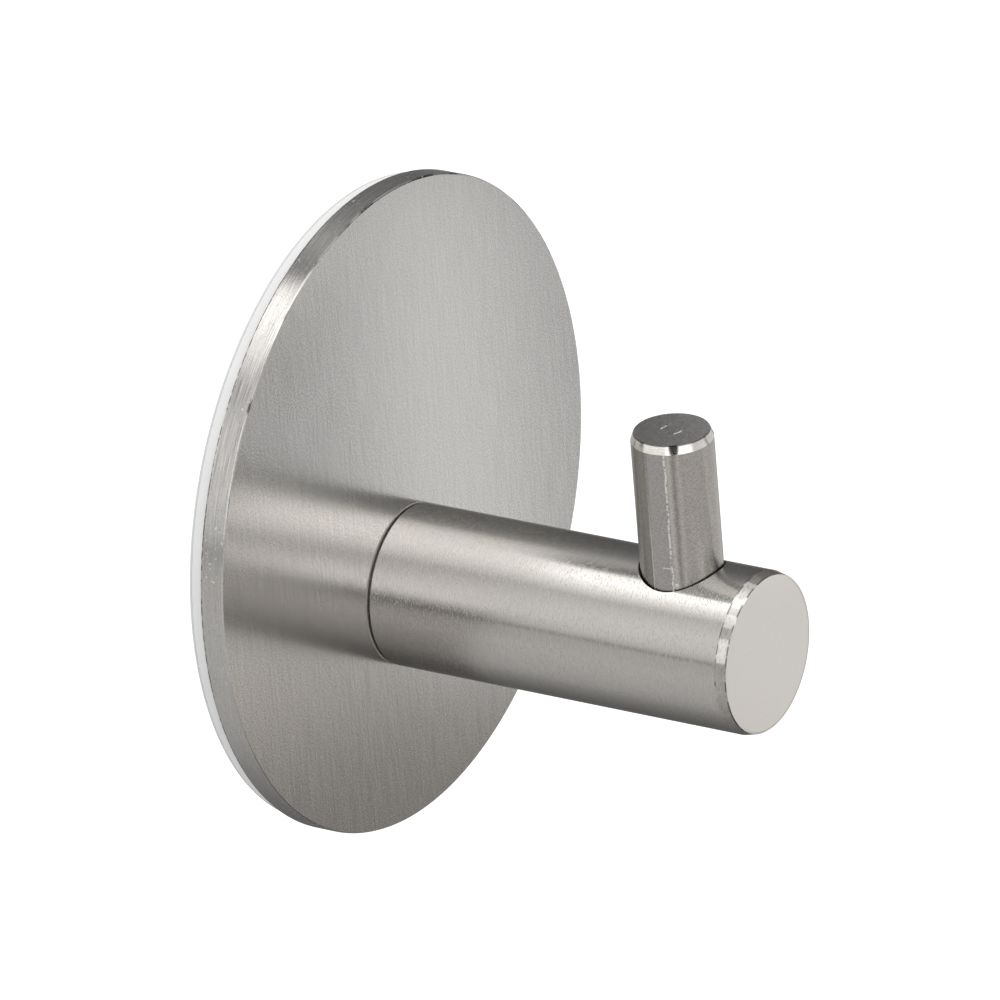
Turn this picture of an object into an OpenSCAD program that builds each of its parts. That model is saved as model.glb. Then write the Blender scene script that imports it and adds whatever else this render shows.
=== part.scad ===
// Adhesive wall hook: a round steel plate, a round post standing out of it and an upright peg near the post's end.
// Millimetres, +Z up. The wall is the plane y = 0 and the hook stands out along -Y.
// The origin is the centre of the face that goes on the wall.

/* [Plate] */
// Diameter of the round plate
plate_d = 64.5; // [50:0.5:90]
// Thickness of the plate
plate_t = 2.5; // [1.5:0.1:5]
// Width of the broken edge round the plate's front and back
plate_edge = 0.15; // [0.05:0.05:0.4]

/* [Post] */
// Diameter of the round bar that the post is cut from
post_d = 16; // [13:0.5:24]
// Length of the post in front of the plate
post_len = 40; // [28:1:70]
// How far the post's axis lies below the plate's centre
post_drop = 8.5; // [0:0.5:12]
// Length of the bevel round the post's free end
post_bevel_len = 1.1; // [0.5:0.1:2]
// How far that bevel narrows the free end, on the radius
post_bevel_in = 0.28; // [0.1:0.02:0.8]
// Width of the fine shadow gap between the post's rim and the plate
foot_gap = 0.15; // [0.1:0.05:0.5]
// Depth of that gap inside the rim, where the post is seated on the plate
foot_gap_in = 0.6; // [0.3:0.1:1.5]
// Width of the broken edge of the post beside the gap
foot_edge = 0.1; // [0.05:0.05:0.3]

/* [Peg] */
// Diameter of the upright peg
peg_d = 8; // [6:0.5:11]
// Height of the peg above the crest of the post
peg_stand = 14; // [8:1:30]
// Distance from the post's free end back to the peg's axis
peg_inset = 8.9; // [7.5:0.1:12]
// Height of the bevel round the peg's top
peg_bevel_h = 0.85; // [0.4:0.05:1.5]
// How far that bevel narrows the top, on the radius
peg_bevel_in = 0.35; // [0.1:0.05:1]
// Width of the clearance ring round the peg where it enters the post
pocket_clear = 0.2; // [0.1:0.05:0.5]
// Depth of the pocket below the lowest point of its rim
pocket_land = 0.8; // [0.4:0.1:1.5]

/* [Peg spigot] */
// Diameter of the threaded spigot under the peg
spigot_d = 5; // [3:0.5:5]
// Length of the spigot
spigot_len = 7; // [5:0.5:8]
// Length of the plain neck between the spigot's thread and the peg
neck_len = 1; // [0.5:0.1:1.5]
// Depth of that neck below the thread, on the radius
neck_in = 0.45; // [0.2:0.05:0.7]

/* [Fixing screw] */
// Thread diameter of the countersunk screw behind the plate
screw_d = 4; // [3:0.5:5]
// Length of the screw over its head
screw_len = 12; // [9:1:16]
// Diameter of its head
head_d = 8.2; // [7.5:0.1:9.5]
// Thickness of the straight rim of the head
head_rim = 0.2; // [0.1:0.05:0.4]
// How far the head lies below the back of the plate
head_recess = 0.1; // [0.05:0.05:0.3]
// Width across the flats of its hexagon socket
socket_flats = 2.5; // [2:0.1:3]
// Depth of that socket
socket_depth = 1.5; // [1:0.1:2]

/* [Holes and clearances] */
// Clearance round the screw's shank in the plate, on the radius
shank_clear = 0.25; // [0.1:0.05:0.4]
// Clearance round the screw's head in its countersink
head_clear = 0.05; // [0.03:0.01:0.2]
// Clearance between a thread and its tapped hole, on the radius
thread_clear = 0.05; // [0.03:0.01:0.1]
// How far a tapped hole runs on past the end of its thread
tap_runout = 1.2; // [0.5:0.1:2]
// Width of the lead-in bevel at the mouth of a tapped hole
tap_lead = 0.3; // [0.1:0.05:0.5]
// Width of the bevel at the tip of a thread
tip_bevel = 0.4; // [0.2:0.05:0.6]

/* [Adhesive pad] */
// How far the pad stays inside the plate's edge
pad_inset = 0.5; // [0.2:0.1:3]
// Thickness of the foam
foam_t = 1.2; // [0.8:0.1:2]
// Thickness of each of the two adhesive coats
glue_t = 0.1; // [0.05:0.01:0.2]
// Thickness of the release liner
liner_t = 0.1; // [0.05:0.01:0.2]

/* [Hidden] */
$fn = 96;

// How far a cut runs past the face that it opens
over = 0.5;
// Slope of a drill point's cone, as its height over its radius
drill_slope = tan(31);

// The faces of the stack from the wall outwards, as distances along -Y
liner_front = liner_t;
wall_glue_front = liner_front + glue_t;
foam_front = wall_glue_front + foam_t;
plate_back = foam_front + glue_t;
plate_front = plate_back + plate_t;
post_end = plate_front + post_len;

pad_d = plate_d - 2 * pad_inset;
peg_out = post_end - peg_inset;

// The pocket's floor lies under the lowest point of the rim that it cuts in the round post
post_r = post_d / 2;
pocket_r = peg_d / 2 + pocket_clear;
pocket_floor = sqrt(post_r * post_r - pocket_r * pocket_r) - pocket_land;
peg_top = post_r + peg_stand;
spigot_tip = pocket_floor - spigot_len;

// The screw's head, shank and tip, as distances along -Y
head_back = plate_back + head_recess;
head_seat = head_back + head_rim + (head_d - screw_d) / 2;
screw_tip = head_back + screw_len;

steel = "#b8b5b1";
dark_steel = "#9a9794";

// Puts a shape that is drawn about +Z on the axis of the post, pointing out of the wall
module along_post() {
    translate([0, 0, -post_drop]) rotate([90, 0, 0]) children();
}

// Puts a shape that is drawn about +Z on the axis of the peg, with z = 0 on the axis of the post
module along_peg() {
    translate([0, -peg_out, -post_drop]) children();
}

// A flat disc between two distances from the wall
module layer(d, back, front) {
    rotate([90, 0, 0]) translate([0, 0, back]) cylinder(d = d, h = front - back);
}

// A tapped hole with a drill point, from its mouth up to a closed end
module tapped_hole(d, mouth, end) {
    hole_r = d / 2 + thread_clear;
    rotate_extrude() polygon([
        [0, mouth - over], [hole_r + tap_lead, mouth - over], [hole_r + tap_lead, mouth],
        [hole_r, mouth + tap_lead], [hole_r, end], [0, end + hole_r * drill_slope]
    ]);
}

// The seat of the screw's head, drawn along the post's axis. It reaches into the post where the plate is thin
module countersink() {
    hole_r = screw_d / 2 + shank_clear;
    sink_r = head_d / 2 + head_clear;
    rim_front = head_back + head_rim + head_clear;
    rotate_extrude() polygon([
        [0, plate_back - over], [sink_r, plate_back - over], [sink_r, rim_front],
        [hole_r, rim_front + sink_r - hole_r], [0, rim_front + sink_r - hole_r]
    ]);
}

// The clearance hole for the screw's shank, drawn along the post's axis
module shank_hole() {
    translate([0, 0, plate_back - over])
        cylinder(r = screw_d / 2 + shank_clear, h = plate_t + 2 * over);
}

// The hexagon socket in the screw's head, with the point that its drill leaves
module socket() {
    socket_r = socket_flats / 2 / cos(30);
    translate([0, 0, head_back - over]) cylinder(r = socket_r, h = over + socket_depth, $fn = 6);
    translate([0, 0, head_back + socket_depth])
        cylinder(d1 = socket_flats, d2 = 0, h = socket_flats / 2 * drill_slope);
}

// Round plate punched from sheet, its edges broken and a countersunk hole behind the post
module base_plate() {
    color(steel) difference() {
        rotate([90, 0, 0]) rotate_extrude() polygon([
            [0, plate_back], [plate_d / 2 - plate_edge, plate_back],
            [plate_d / 2, plate_back + plate_edge], [plate_d / 2, plate_front - plate_edge],
            [plate_d / 2 - plate_edge, plate_front], [0, plate_front]
        ]);
        along_post() countersink();
        along_post() shank_hole();
    }
}

// Post turned from round bar, tapped behind for the screw and bored across for the peg
module post() {
    rim_back = plate_front + foot_gap;
    color(steel) difference() {
        along_post() rotate_extrude() polygon([
            [0, plate_front], [post_r - foot_gap_in, plate_front],
            [post_r - foot_gap_in, rim_back], [post_r - foot_edge, rim_back],
            [post_r, rim_back + foot_edge], [post_r, post_end - post_bevel_len],
            [post_r - post_bevel_in, post_end], [0, post_end]
        ]);
        along_post() tapped_hole(screw_d, plate_front, screw_tip + tap_runout);
        along_post() countersink();
        along_peg() translate([0, 0, pocket_floor]) cylinder(r = pocket_r, h = post_r - pocket_floor + over);
        along_peg() mirror([0, 0, 1]) tapped_hole(spigot_d, -pocket_floor, tap_runout - spigot_tip);
    }
}

// Peg turned from round bar, with a bevelled top and a threaded spigot under a plain neck
module peg() {
    color(dark_steel) along_peg() rotate_extrude() polygon([
        [0, spigot_tip], [spigot_d / 2 - tip_bevel, spigot_tip], [spigot_d / 2, spigot_tip + tip_bevel],
        [spigot_d / 2, pocket_floor - neck_len], [spigot_d / 2 - neck_in, pocket_floor - neck_len + neck_in],
        [spigot_d / 2 - neck_in, pocket_floor], [peg_d / 2, pocket_floor], [peg_d / 2, peg_top - peg_bevel_h],
        [peg_d / 2 - peg_bevel_in, peg_top], [0, peg_top]
    ]);
}

// Countersunk screw that draws the post against the plate from behind
module fixing_screw() {
    color(dark_steel) along_post() difference() {
        rotate_extrude() polygon([
            [0, head_back], [head_d / 2, head_back], [head_d / 2, head_back + head_rim],
            [screw_d / 2, head_seat], [screw_d / 2, screw_tip - tip_bevel],
            [screw_d / 2 - tip_bevel, screw_tip], [0, screw_tip]
        ]);
        socket();
    }
}

// Adhesive coat between the foam and the steel
module plate_adhesive() {
    color("#dfe3e4") layer(pad_d, foam_front, plate_back);
}

// White foam that takes up the wall's unevenness
module foam_core() {
    color("#eef0f0") layer(pad_d, wall_glue_front, foam_front);
}

// Adhesive coat that bonds to the wall
module wall_adhesive() {
    color("#dfe3e4") layer(pad_d, liner_front, wall_glue_front);
}

// Film over the wall side, peeled off before the hook goes up
module release_liner() {
    color("#e8ebec") layer(pad_d, 0, liner_front);
}

base_plate();
post();
peg();
fixing_screw();
plate_adhesive();
foam_core();
wall_adhesive();
release_liner();
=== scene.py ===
# Adhesive wall hook in brushed stainless steel: a round plate on a white foam pad, a round post standing
# out of the plate and an upright peg near the post's free end. Metres, +Z up, the wall is the plane y = 0.
from math import cos, pi, radians, sin, sqrt, tan

import bpy
import numpy as np
from mathutils import Matrix, Vector


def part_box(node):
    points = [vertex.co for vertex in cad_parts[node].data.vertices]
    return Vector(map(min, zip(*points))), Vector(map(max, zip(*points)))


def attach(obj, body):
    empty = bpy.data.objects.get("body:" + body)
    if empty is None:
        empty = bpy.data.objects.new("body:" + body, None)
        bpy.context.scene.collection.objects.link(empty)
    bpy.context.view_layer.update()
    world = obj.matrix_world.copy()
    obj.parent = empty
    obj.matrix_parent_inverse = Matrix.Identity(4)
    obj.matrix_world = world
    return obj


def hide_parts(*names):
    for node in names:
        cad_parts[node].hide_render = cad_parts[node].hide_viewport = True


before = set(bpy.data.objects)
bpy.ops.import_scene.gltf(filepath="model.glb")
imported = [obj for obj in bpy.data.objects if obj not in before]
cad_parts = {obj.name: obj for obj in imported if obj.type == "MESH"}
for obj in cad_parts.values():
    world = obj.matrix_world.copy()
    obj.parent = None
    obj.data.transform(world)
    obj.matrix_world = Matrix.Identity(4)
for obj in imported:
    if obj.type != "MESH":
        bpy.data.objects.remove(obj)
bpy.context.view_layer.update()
scene = bpy.context.scene
mm = 0.001

# Camera: a long lens 1.28 m away, to the left of the hook and above it, a little tilted.
# Its direction, tilt and lens were fitted to the outlines of the plate, the post and the peg.
camera_azimuth = radians(-56.1635)
camera_elevation = radians(25.0309)
camera_roll = radians(-4.8113)
camera_distance = 1279.85 * mm
camera_target = Vector((-9.784, -21.5, 7.919)) * mm
camera_data = bpy.data.cameras.new("camera")
camera_data.sensor_width = 36
camera_data.lens = 485.94
camera_data.clip_start = 0.01
camera_data.clip_end = 50
camera = bpy.data.objects.new("camera", camera_data)
scene.collection.objects.link(camera)
camera_back = Vector((sin(camera_azimuth) * cos(camera_elevation),
                      -cos(camera_azimuth) * cos(camera_elevation), sin(camera_elevation)))
level_right = Vector((cos(camera_azimuth), sin(camera_azimuth), 0))
level_up = camera_back.cross(level_right)
camera_right = cos(camera_roll) * level_right + sin(camera_roll) * level_up
camera_up = cos(camera_roll) * level_up - sin(camera_roll) * level_right
camera.matrix_world = (Matrix.Translation(camera_target + camera_distance * camera_back)
                       @ Matrix((camera_right, camera_up, camera_back)).transposed().to_4x4())
scene.camera = camera
scene.view_settings.view_transform = "Standard"

# Room: a plain pale studio, which shows in mirror reflections alone. All other light is plain white. Soft
# panels stand above and in front, the walls are light grey on the left and dark on the right, and the ground
# is darker, so that the round bars show their bands of light. Levels are those of a white card. The two
# rings are the room in front and the one behind, round the axis of the post from the right (0) over the top
# (90) to the left (180) and below (270).
room_in_front = {0: 0.06, 20: 0.10, 40: 0.22, 50: 0.45, 57: 1.30, 66: 1.85, 80: 1.95, 95: 2.05, 104: 1.92,
                 113: 1.44, 121: 0.76, 132: 1.22, 142: 1.50, 158: 1.72, 167: 1.78, 173: 1.40, 179: 0.34,
                 183: 0.92, 192: 1.38, 206: 1.42, 220: 1.02, 236: 0.56, 252: 0.27, 270: 0.11, 300: 0.05,
                 320: 0.08, 331: 0.20, 342: 0.08}
room_behind = {0: 0.10, 30: 0.15, 45: 0.25, 53: 0.42, 60: 0.50, 68: 0.34, 75: 0.14, 79: 0.60, 82: 1.70,
               95: 1.95, 103: 1.60, 112: 1.12, 122: 0.66, 133: 0.80, 145: 0.87, 160: 0.85, 170: 0.74,
               175: 0.64, 179.5: 0.36, 184: 0.54, 205: 0.60, 222: 0.56, 236: 0.52, 249: 0.45, 265: 0.29,
               281: 0.19, 297: 0.13, 315: 0.13, 328: 0.24, 337: 0.42, 347: 0.16}
room_turn = (-0.35, -0.1)
# The panel straight ahead and the strip on the right, by height from straight below (-1) to overhead (1).
# A pair of numbers says where something starts and where it is full, along X, Y or Z of a direction.
front_panel = {-1: 0.15, -0.68: 0.27, -0.5: 0.61, -0.36: 0.65, -0.08: 0.62,
               0.02: 0.75, 0.3: 0.55, 0.6: 0.70, 1: 1.5}
front_panel_y = (-0.6, -0.78)
side_strip = {-1: 0.2, -0.7: 0.3, -0.5: 0.70, -0.3: 0.74, 0: 0.55, 0.25: 0.66, 1: 0.6}
side_strip_middle, side_strip_half, side_strip_x = -0.16, (0.30, 0.22), (0.3, 0.6)
# A brighter part of the panel, up on the left, and a dark stand low down in front, about its own azimuth.
bright_level = 1.25
bright_x, bright_y, bright_z = (0.05, -0.15), (-0.5, -0.6), (0.18, 0.26)
stand_level = 0.10
stand_azimuth = radians(-148.5)
stand_turn = (radians(32), radians(-14))
stand_z = (0.3, 0.1)
room_tint_low = (1.05, 1.0, 0.95, 1)
room_tint_back = (1.02, 1.0, 0.975, 1)
room_tint_high = (1.02, 1.0, 0.98, 1)
tint_z = (-0.15, 0.15)


class Nodes:
    """A short way to add nodes to a tree and join them."""

    def __init__(self, tree):
        self.tree = tree

    def add(self, kind, *inputs, **settings):
        node = self.tree.nodes.new(kind)
        for name, value in settings.items():
            setattr(node, name, value)
        for slot, value in enumerate(inputs):
            self.put(node.inputs[slot], value)
        return node

    def put(self, socket, value):
        if isinstance(value, bpy.types.NodeSocket):
            self.tree.links.new(value, socket)
        elif value is not None:
            socket.default_value = value

    def math(self, operation, *inputs, clamp=False):
        return self.add("ShaderNodeMath", *inputs, operation=operation, use_clamp=clamp).outputs[0]

    def vector(self, operation, *inputs):
        node = self.add("ShaderNodeVectorMath", *inputs, operation=operation)
        return node.outputs["Value" if operation in ("LENGTH", "DOT_PRODUCT") else "Vector"]

    def parts(self, vector):
        return self.add("ShaderNodeSeparateXYZ", vector).outputs

    def smooth(self, value, low, high, to_low=0.0, to_high=1.0):
        return self.add("ShaderNodeMapRange", value, low, high, to_low, to_high,
                        interpolation_type="SMOOTHSTEP").outputs[0]

    def ramp(self, value, stops):
        node = self.add("ShaderNodeValToRGB", value)
        elements = node.color_ramp.elements
        elements[0].position = stops[0][0]
        elements[1].position = stops[-1][0]
        for place, _ in stops[1:-1]:
            elements.new(place)
        for element, (_, level) in zip(elements, stops):
            element.color = grey(level)
        return node.outputs[0]

    def mix(self, factor, first, second, blend="MIX"):
        node = self.add("ShaderNodeMix", data_type="RGBA", blend_type=blend)
        self.put(node.inputs[0], factor)
        self.put(node.inputs[6], first)
        self.put(node.inputs[7], second)
        return node.outputs[2]


def grey(level):
    """Colour with the same level in its three parts."""
    return (level, level, level, 1)


def by_height(levels):
    """Stops of a colour ramp for levels that are given by height from -1 to 1."""
    return [(height / 2 + 0.5, level) for height, level in levels.items()]


def new_group(name, inputs, outputs):
    """Empty shader node group with named sockets, as (group, its input node, its output node)."""
    group = bpy.data.node_groups.new(name, "ShaderNodeTree")
    for kind, sockets in (("INPUT", inputs), ("OUTPUT", outputs)):
        for label, socket_type, default in sockets:
            socket = group.interface.new_socket(label, in_out=kind, socket_type=socket_type)
            if default is not None:
                socket.default_value = default
    return group, group.nodes.new("NodeGroupInput"), group.nodes.new("NodeGroupOutput")


def room_group():
    """Level and tint of the room for a direction: a ring of levels in front and one behind, joined softly."""
    group, given, result = new_group("room_light", [("Direction", "NodeSocketVector", None)],
                                     [("Color", "NodeSocketColor", None)])
    n = Nodes(group)
    x, y, z = n.parts(given.outputs[0])
    turn = n.math("FRACT", n.math("DIVIDE", n.math("ARCTAN2", z, x), 2 * pi))
    rings = []
    for ring in (room_in_front, room_behind):
        stops = [(angle / 360, level) for angle, level in ring.items()] + [(1, ring[0])]
        rings.append(n.ramp(turn, stops))
    behind = n.smooth(y, *room_turn)
    level = n.mix(behind, rings[0], rings[1])
    height = n.math("MULTIPLY_ADD", z, 0.5, 0.5)
    level = n.mix(n.smooth(y, *front_panel_y), level, n.ramp(height, by_height(front_panel)))
    bright = n.math("MULTIPLY", n.smooth(y, *bright_y), n.smooth(z, *bright_z))
    bright = n.math("MULTIPLY", n.smooth(x, *bright_x), bright)
    level = n.mix(bright, level, grey(bright_level))
    from_strip = n.math("ABSOLUTE", n.math("SUBTRACT", y, side_strip_middle))
    beside = n.math("MULTIPLY", n.smooth(from_strip, *side_strip_half), n.smooth(x, *side_strip_x))
    level = n.mix(beside, level, n.ramp(height, by_height(side_strip)))
    ahead_x, ahead_y = cos(stand_azimuth), sin(stand_azimuth)
    sideways = n.math("SUBTRACT", n.math("MULTIPLY", x, ahead_y), n.math("MULTIPLY", y, ahead_x))
    ahead = n.math("ADD", n.math("MULTIPLY", x, ahead_x), n.math("MULTIPLY", y, ahead_y))
    aside = n.math("ABSOLUTE", n.math("ARCTAN2", sideways, ahead))
    stand = n.math("MULTIPLY", n.smooth(aside, *stand_turn), n.smooth(z, *stand_z))
    level = n.mix(stand, level, n.mix(1.0, level, grey(stand_level), blend="MULTIPLY"))
    tint = n.mix(n.smooth(z, *tint_z), n.mix(behind, room_tint_low, room_tint_back), room_tint_high)
    n.put(result.inputs[0], n.mix(1.0, level, tint, blend="MULTIPLY"))
    return group


room_light = room_group()
world = bpy.data.worlds.new("room")
world.use_nodes = True
world.node_tree.nodes.clear()
n = Nodes(world.node_tree)
direction = n.add("ShaderNodeTexCoord").outputs["Generated"]
room = n.add("ShaderNodeGroup", direction, node_tree=room_light)
rays = n.add("ShaderNodeLightPath").outputs
plain = n.math("SUBTRACT", 1.0, rays["Is Glossy Ray"])
seen = n.mix(plain, room.outputs[0], grey(1))
n.add("ShaderNodeOutputWorld", n.add("ShaderNodeBackground", seen).outputs[0])
scene.world = world

# The floor lies well below the hook, pale and plain. Its own diffuse light carries the hook's soft shadow,
# and it doesn't show from below, where it would hide the hook.
floor_drop = 0.30
floor_half = 6.0
floor_glow = 0.52
floor_white = 0.8
floor_lift = 0.42


def new_material(name):
    """Empty material, as (material, its nodes)."""
    material = bpy.data.materials.new(name)
    material.use_nodes = True
    material.node_tree.nodes.clear()
    return material, Nodes(material.node_tree)


floor_mesh = bpy.data.meshes.new("floor")
floor_mesh.from_pydata([(-floor_half, -floor_half, -floor_drop), (floor_half, -floor_half, -floor_drop),
                        (floor_half, floor_half, -floor_drop), (-floor_half, floor_half, -floor_drop)],
                       [], [(0, 1, 2, 3)])
floor = bpy.data.objects.new("floor", floor_mesh)
scene.collection.objects.link(floor)
floor_paint, n = new_material("floor_paint")
rays = n.add("ShaderNodeLightPath").outputs
place = n.add("ShaderNodeNewGeometry").outputs["Position"]
room = n.add("ShaderNodeGroup", n.vector("NORMALIZE", place), node_tree=room_light)
paint = n.add("ShaderNodeBsdfDiffuse", grey(floor_white)).outputs[0]
lift = n.add("ShaderNodeEmission", grey(1), floor_lift).outputs[0]
lit = n.add("ShaderNodeAddShader", paint, lift).outputs[0]
ground = n.mix(rays["Is Glossy Ray"], grey(floor_glow), room.outputs[0])
shown = n.add("ShaderNodeEmission", ground, 1.0).outputs[0]
clear = n.math("ADD", rays["Is Camera Ray"], rays["Is Transmission Ray"], clamp=True)
above = n.add("ShaderNodeMixShader", clear, shown, lit).outputs[0]
gone = n.add("ShaderNodeBsdfTransparent").outputs[0]
below = n.add("ShaderNodeNewGeometry").outputs["Backfacing"]
n.add("ShaderNodeOutputMaterial", n.add("ShaderNodeMixShader", below, above, gone).outputs[0])
floor_mesh.materials.append(floor_paint)

# Card: a soft card near the hook, to its right and below, square to the camera's view as the plate mirrors
# it, which is the view's direction with its way along Y turned round. The plate mirrors the card's bright
# middle as the light upper half of its own face, and the post's end mirrors the card's outer part.
mirrored_view = Vector((-camera_back[0], camera_back[1], -camera_back[2]))
card_distance = 200 * mm
card_aim = Vector((0, -4 * mm, 0))
# Sizes on the card are in millimetres from its middle. Levels go by the distance sideways, away from the
# wall, and the lower edge leans. The part that the plate mirrors low on its left is warmer.
card_levels = {-60: 0.50, -22: 0.46, -15: 0.46, -11: 0.64, -7: 1.22, -3: 1.76, 0: 1.68, 4: 0.90, 7: 0.22,
               12: 0.06, 23: 0.12, 27: 1.0, 60: 0.9}
card_left, card_right = min(card_levels), max(card_levels)
card_bottom, card_bottom_full, card_top_full, card_top = -26, -10, 36, 50
card_lean = 0.25
card_side_soft = 6
warm_up, warm_side = (-11, -16), (4, 8)
warm_color = (0.70, 0.65, 0.59, 1)


def stage_sheet(name, corners):
    """Flat sheet that doesn't show to the camera and casts no shadow, as (its object, its nodes)."""
    mesh = bpy.data.meshes.new(name)
    mesh.from_pydata([tuple(corner) for corner in corners], [], [tuple(range(len(corners)))])
    sheet = bpy.data.objects.new(name, mesh)
    scene.collection.objects.link(sheet)
    sheet.visible_camera = sheet.visible_shadow = False
    paint, n = new_material(name)
    mesh.materials.append(paint)
    return sheet, n


def front_only(n, shown, share=1.0):
    """Shader that shows by share on the front of a sheet and is clear from behind."""
    gone = n.add("ShaderNodeBsdfTransparent").outputs[0]
    front = n.math("SUBTRACT", 1.0, n.add("ShaderNodeNewGeometry").outputs["Backfacing"])
    return n.add("ShaderNodeMixShader", n.math("MULTIPLY", share, front), gone, shown).outputs[0]


def side_card():
    """The card: its level follows the distance sideways, and it fades out at its rim."""
    middle = card_aim + card_distance * mirrored_view
    across = Vector((0, 0, 1)).cross(-mirrored_view).normalized()
    up = across.cross(mirrored_view)
    lowest = card_bottom - card_lean * card_right
    width, height = card_right - card_left, card_top - lowest
    places = ((card_left, lowest), (card_right, lowest), (card_right, card_top), (card_left, card_top))
    card, n = stage_sheet("side_card", [middle + (side * across + end * up) * mm for side, end in places])
    card.data.uv_layers.new(name="card").data.foreach_set("uv", [0, 0, 1, 0, 1, 1, 0, 1])
    u, v, _ = n.parts(n.add("ShaderNodeTexCoord").outputs["UV"])
    level = n.ramp(u, [((side - card_left) / width, lit) for side, lit in card_levels.items()])
    from_middle = n.math("ABSOLUTE", n.math("SUBTRACT", u, 0.5))
    fade_side = n.smooth(from_middle, 0.5, 0.5 - card_side_soft / width)
    up_card = n.math("MULTIPLY_ADD", v, height, lowest)
    leaning = n.math("ADD", up_card, n.math("MULTIPLY_ADD", u, width * card_lean, card_left * card_lean))
    fade_low = n.smooth(leaning, card_bottom, card_bottom_full)
    fade_high = n.smooth(up_card, card_top, card_top_full)
    fade = n.math("MULTIPLY", fade_side, n.math("MULTIPLY", fade_low, fade_high))
    warm_start, warm_full = ((side - card_left) / width for side in warm_side)
    warm = n.math("MULTIPLY", n.smooth(up_card, *warm_up), n.smooth(u, warm_start, warm_full))
    light = n.add("ShaderNodeEmission", n.mix(warm, level, warm_color), 1.0).outputs[0]
    n.add("ShaderNodeOutputMaterial", front_only(n, light, fade))


side_card()

# Flag and boards: a round black flag before the peg makes the dark spot in its bright bevel. A pale board
# level with the post's upper half lies in the view of the peg's right side, and a small one in that of its
# bevel. Corners are in millimetres.
flag_aim = Vector((0, -35.1, 13.1)) * mm
flag_distance, flag_r, flag_sides = 60 * mm, 14 * mm, 24
flag_level = 0.02
pale_board = ((8, -48, -4), (30, -90, -4), (60, -51.5, -4), (8, -37.5, -4))
pale_board_color = (0.72, 0.70, 0.68, 1)
small_board = ((11.1, -47.9, 10.5), (16.6, -38.3, 10.5), (16.6, -38.3, 20), (11.1, -47.9, 20))
small_board_color = (0.58, 0.57, 0.56, 1)


def stage_board(name, corners, color, top_only=False):
    """Flat glowing sheet that only the mirrors see. With top_only it shows on its upper side alone."""
    board, n = stage_sheet(name, corners)
    board.visible_diffuse = False
    shown = n.add("ShaderNodeEmission", color, 1.0).outputs[0]
    n.add("ShaderNodeOutputMaterial", front_only(n, shown) if top_only else shown)


flag_right = camera_back.cross(Vector((0, 0, 1))).normalized()
flag_up = flag_right.cross(camera_back)
flag_turns = [k * 2 * pi / flag_sides for k in range(flag_sides)]
flag_middle = flag_aim + flag_distance * camera_back
stage_board("black_flag", [flag_middle + flag_r * (cos(turn) * flag_right + sin(turn) * flag_up)
                           for turn in flag_turns], grey(flag_level))
stage_board("pale_board", [Vector(corner) * mm for corner in pale_board], pale_board_color, top_only=True)
stage_board("small_board", [Vector(corner) * mm for corner in small_board], small_board_color)

# Base plate: a disc punched from 2.5 mm stainless sheet, its face brushed straight up and down and its
# edge turned. A countersunk hole behind the post lets the fixing screw draw the post against the plate.
plate_low, plate_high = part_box("base_plate")
plate_r = plate_high[0]
plate_back, plate_front = -plate_high[1], -plate_low[1]
post_low, post_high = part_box("post")
post_r = post_high[0]
post_z = post_high[2] - post_r
edge_break = 0.15 * mm
corner_share = 0.3
screw_hole_r = 2.25 * mm
sink_r = 4.15 * mm
sink_rim = 0.35 * mm
columns = 384


def turned(rows, count=columns, closed=False):
    """Rings of points: ring i has radius rows[i][0] at height rows[i][1], with its centre lifted by the
    third number. A radius may be an array with one value per column. Columns run round the axis."""
    angle = np.arange(count) * 2 * pi / count
    rings = np.empty((len(rows), count, 3))
    for ring, (radius, height, *lift) in zip(rings, rows):
        ring[:, 0] = radius * np.cos(angle)
        ring[:, 1] = radius * np.sin(angle) + (lift[0] if lift else 0.0)
        ring[:, 2] = height
    faces = grid_faces(len(rows), count, wrap_rows=closed, wrap_columns=True)
    return rings.reshape(-1, 3), faces


def grid_faces(rows, count, wrap_rows=False, wrap_columns=False):
    """Four-sided faces of a grid of points that is stored row by row, as an array of indices."""
    i, j = np.meshgrid(np.arange(rows if wrap_rows else rows - 1),
                       np.arange(count if wrap_columns else count - 1), indexing="ij")
    i, j = i.ravel(), j.ravel()
    i2, j2 = (i + 1) % rows, (j + 1) % count
    return np.stack([i * count + j, i * count + j2, i2 * count + j2, i2 * count + j], axis=1)


def weld(*patches):
    """One set of points and faces from several grids, with the points that coincide made one and the points
    that no face uses left out."""
    offset, points, faces = 0, [], []
    for patch_points, patch_faces in patches:
        points.append(patch_points)
        faces.append(patch_faces + offset)
        offset += len(patch_points)
    points, faces = np.concatenate(points), np.concatenate(faces)
    keys = np.round(points / (1e-4 * mm)).astype(np.int64)
    _, first, where = np.unique(keys, axis=0, return_index=True, return_inverse=True)
    used, numbered = np.unique(where.ravel()[faces], return_inverse=True)
    return points[first][used], numbered.reshape(faces.shape)


def new_piece(name, points, faces, node, sharp=radians(12)):
    """Object at the origin from points and faces, smooth but for its sharp edges, standing for a CAD node."""
    loops = [tuple(dict.fromkeys(face)) for face in faces.tolist()]
    mesh = bpy.data.meshes.new(name)
    mesh.from_pydata(points.tolist(), [], [loop for loop in loops if len(loop) > 2])
    mesh.update()
    piece = bpy.data.objects.new(name, mesh)
    scene.collection.objects.link(piece)
    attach(piece, "root")
    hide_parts(node)
    mesh.shade_smooth()
    mesh.set_sharp_from_angle(angle=sharp)
    outwards(mesh)
    return piece


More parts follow.
